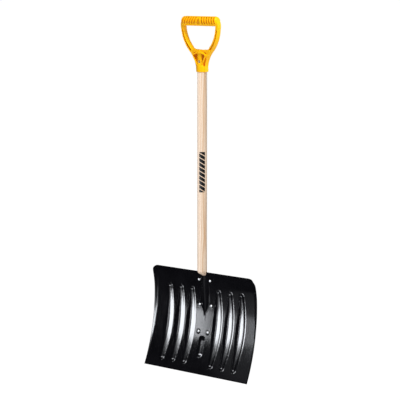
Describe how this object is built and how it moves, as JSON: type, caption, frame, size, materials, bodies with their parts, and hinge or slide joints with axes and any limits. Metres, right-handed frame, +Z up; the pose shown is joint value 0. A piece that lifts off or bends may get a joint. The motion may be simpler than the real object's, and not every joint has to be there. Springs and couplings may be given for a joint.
{
  "type": "snow shovel",
  "caption": "Long-handled snow shovel with a wide, ribbed black steel blade, a round pale wooden shaft and a yellow moulded D-grip.",
  "frame": {"origin": "middle of the underside of the grip bar, where the shovel hangs on a hook; the axis of the shaft is 7.7 mm behind it, because the D leans forward by 3 degrees", "axes": "+Z up the shaft towards the grip, +X to the right of a person looking at the scooping side, -Y the scooping side"},
  "size_m": [0.454, 0.0592, 1.1696],
  "materials": {
    "blade_black": "gloss black enamel on pressed steel",
    "strap_black": "satin black enamel on steel",
    "shaft_wood": "pale ash with a thin clear coat",
    "grip_yellow": "satin moulded yellow polypropylene",
    "rivet_metal": "bright aluminium",
    "screw_steel": "zinc-plated steel"
  },
  "bodies": {
    "root": {"blade": "blade_black", "back_strap": "strap_black", "shaft": "shaft_wood", "d_grip": "grip_yellow", "grip_rivet": "rivet_metal", "strap_screw": "screw_steel", "blade_rivet_upper_left": "rivet_metal", "blade_rivet_upper_right": "rivet_metal", "blade_rivet_middle_left": "rivet_metal", "blade_rivet_middle_right": "rivet_metal", "blade_rivet_lower_left": "rivet_metal", "blade_rivet_lower_right": "rivet_metal"}
  },
  "joints": []
}
